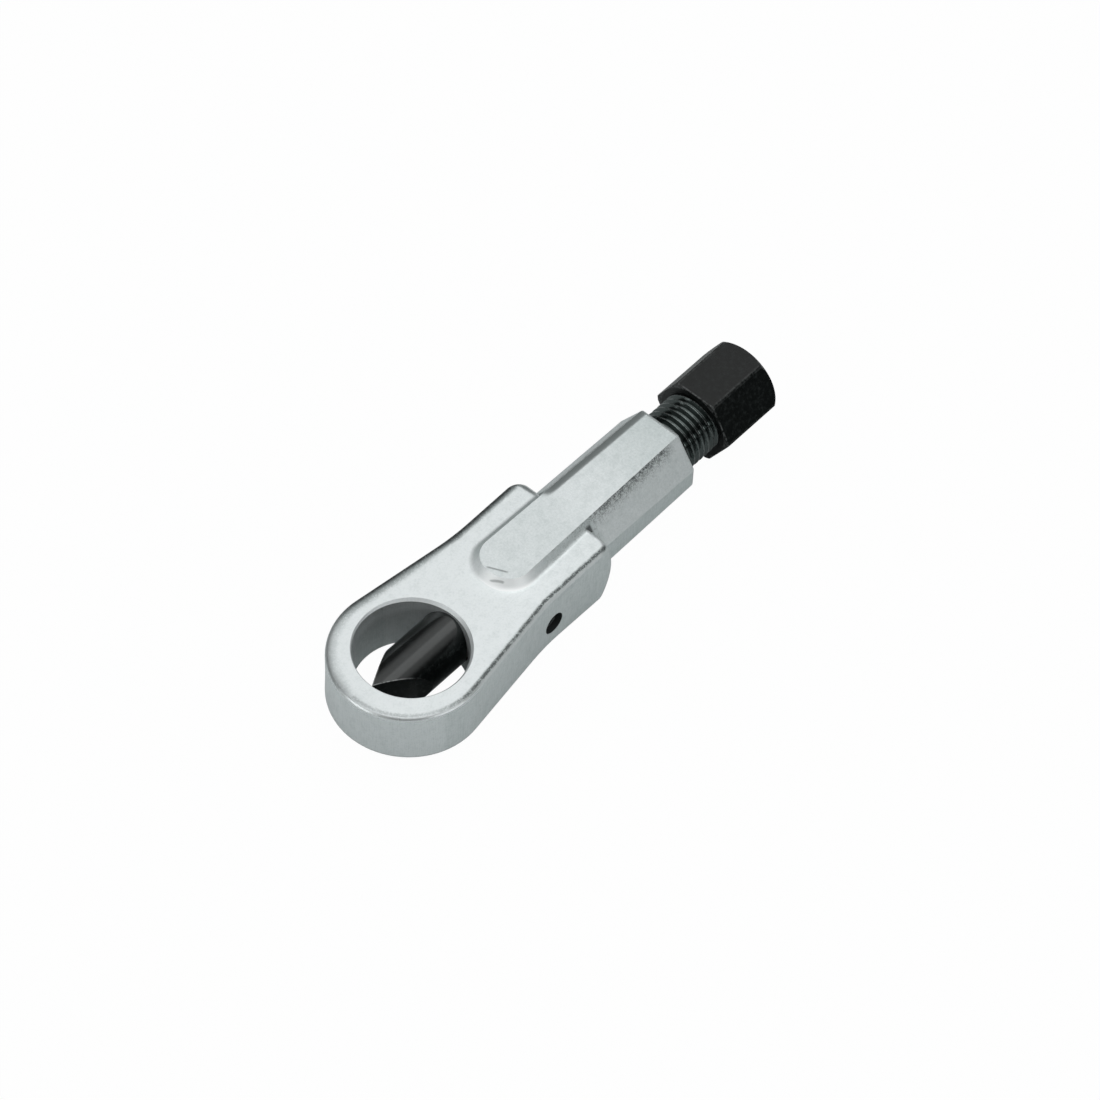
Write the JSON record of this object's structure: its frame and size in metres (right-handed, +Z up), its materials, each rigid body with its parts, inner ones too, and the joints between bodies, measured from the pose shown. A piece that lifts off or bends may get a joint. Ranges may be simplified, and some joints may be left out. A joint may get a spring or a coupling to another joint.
{
  "type": "nut splitter",
  "caption": "Ring-type nut splitter: a hexagon-headed pressure screw in a forged neck pushes a round chisel across the ring's opening to crack a seized nut.",
  "frame": {"origin": "centre of the ring opening, on the screw axis, at mid thickness", "axes": "+X along the screw from the ring to the hexagon head, +Z up through the ring opening"},
  "size_m": [0.1205, 0.033, 0.0192],
  "materials": {
    "plated_forging": "forged steel with satin nickel and chrome plating",
    "black_oxide_steel": "black oxide, oiled",
    "bright_ball_steel": "ground and polished"
  },
  "bodies": {
    "frame": {"splitter_frame": "plated_forging", "guide_screw": "black_oxide_steel"},
    "slider": {"chisel": "black_oxide_steel", "thrust_ball": "bright_ball_steel"},
    "screw": {"pressure_screw": "black_oxide_steel"}
  },
  "joints": [
    {"name": "chisel_slide", "type": "slide", "parent": "frame", "child": "slider", "axis": [1, 0, 0], "range_m": [-0.00025, 0.0165]},
    {"name": "screw_turn", "type": "hinge", "parent": "slider", "child": "screw", "pos_m": [0.0376, 0, 0], "axis": [1, 0, 0], "range_deg": [-60, 3960]}
  ],
  "couplings": [
    {"joint": "screw_turn", "follows": "chisel_slide", "rad_per_m": 4188.8}
  ]
}
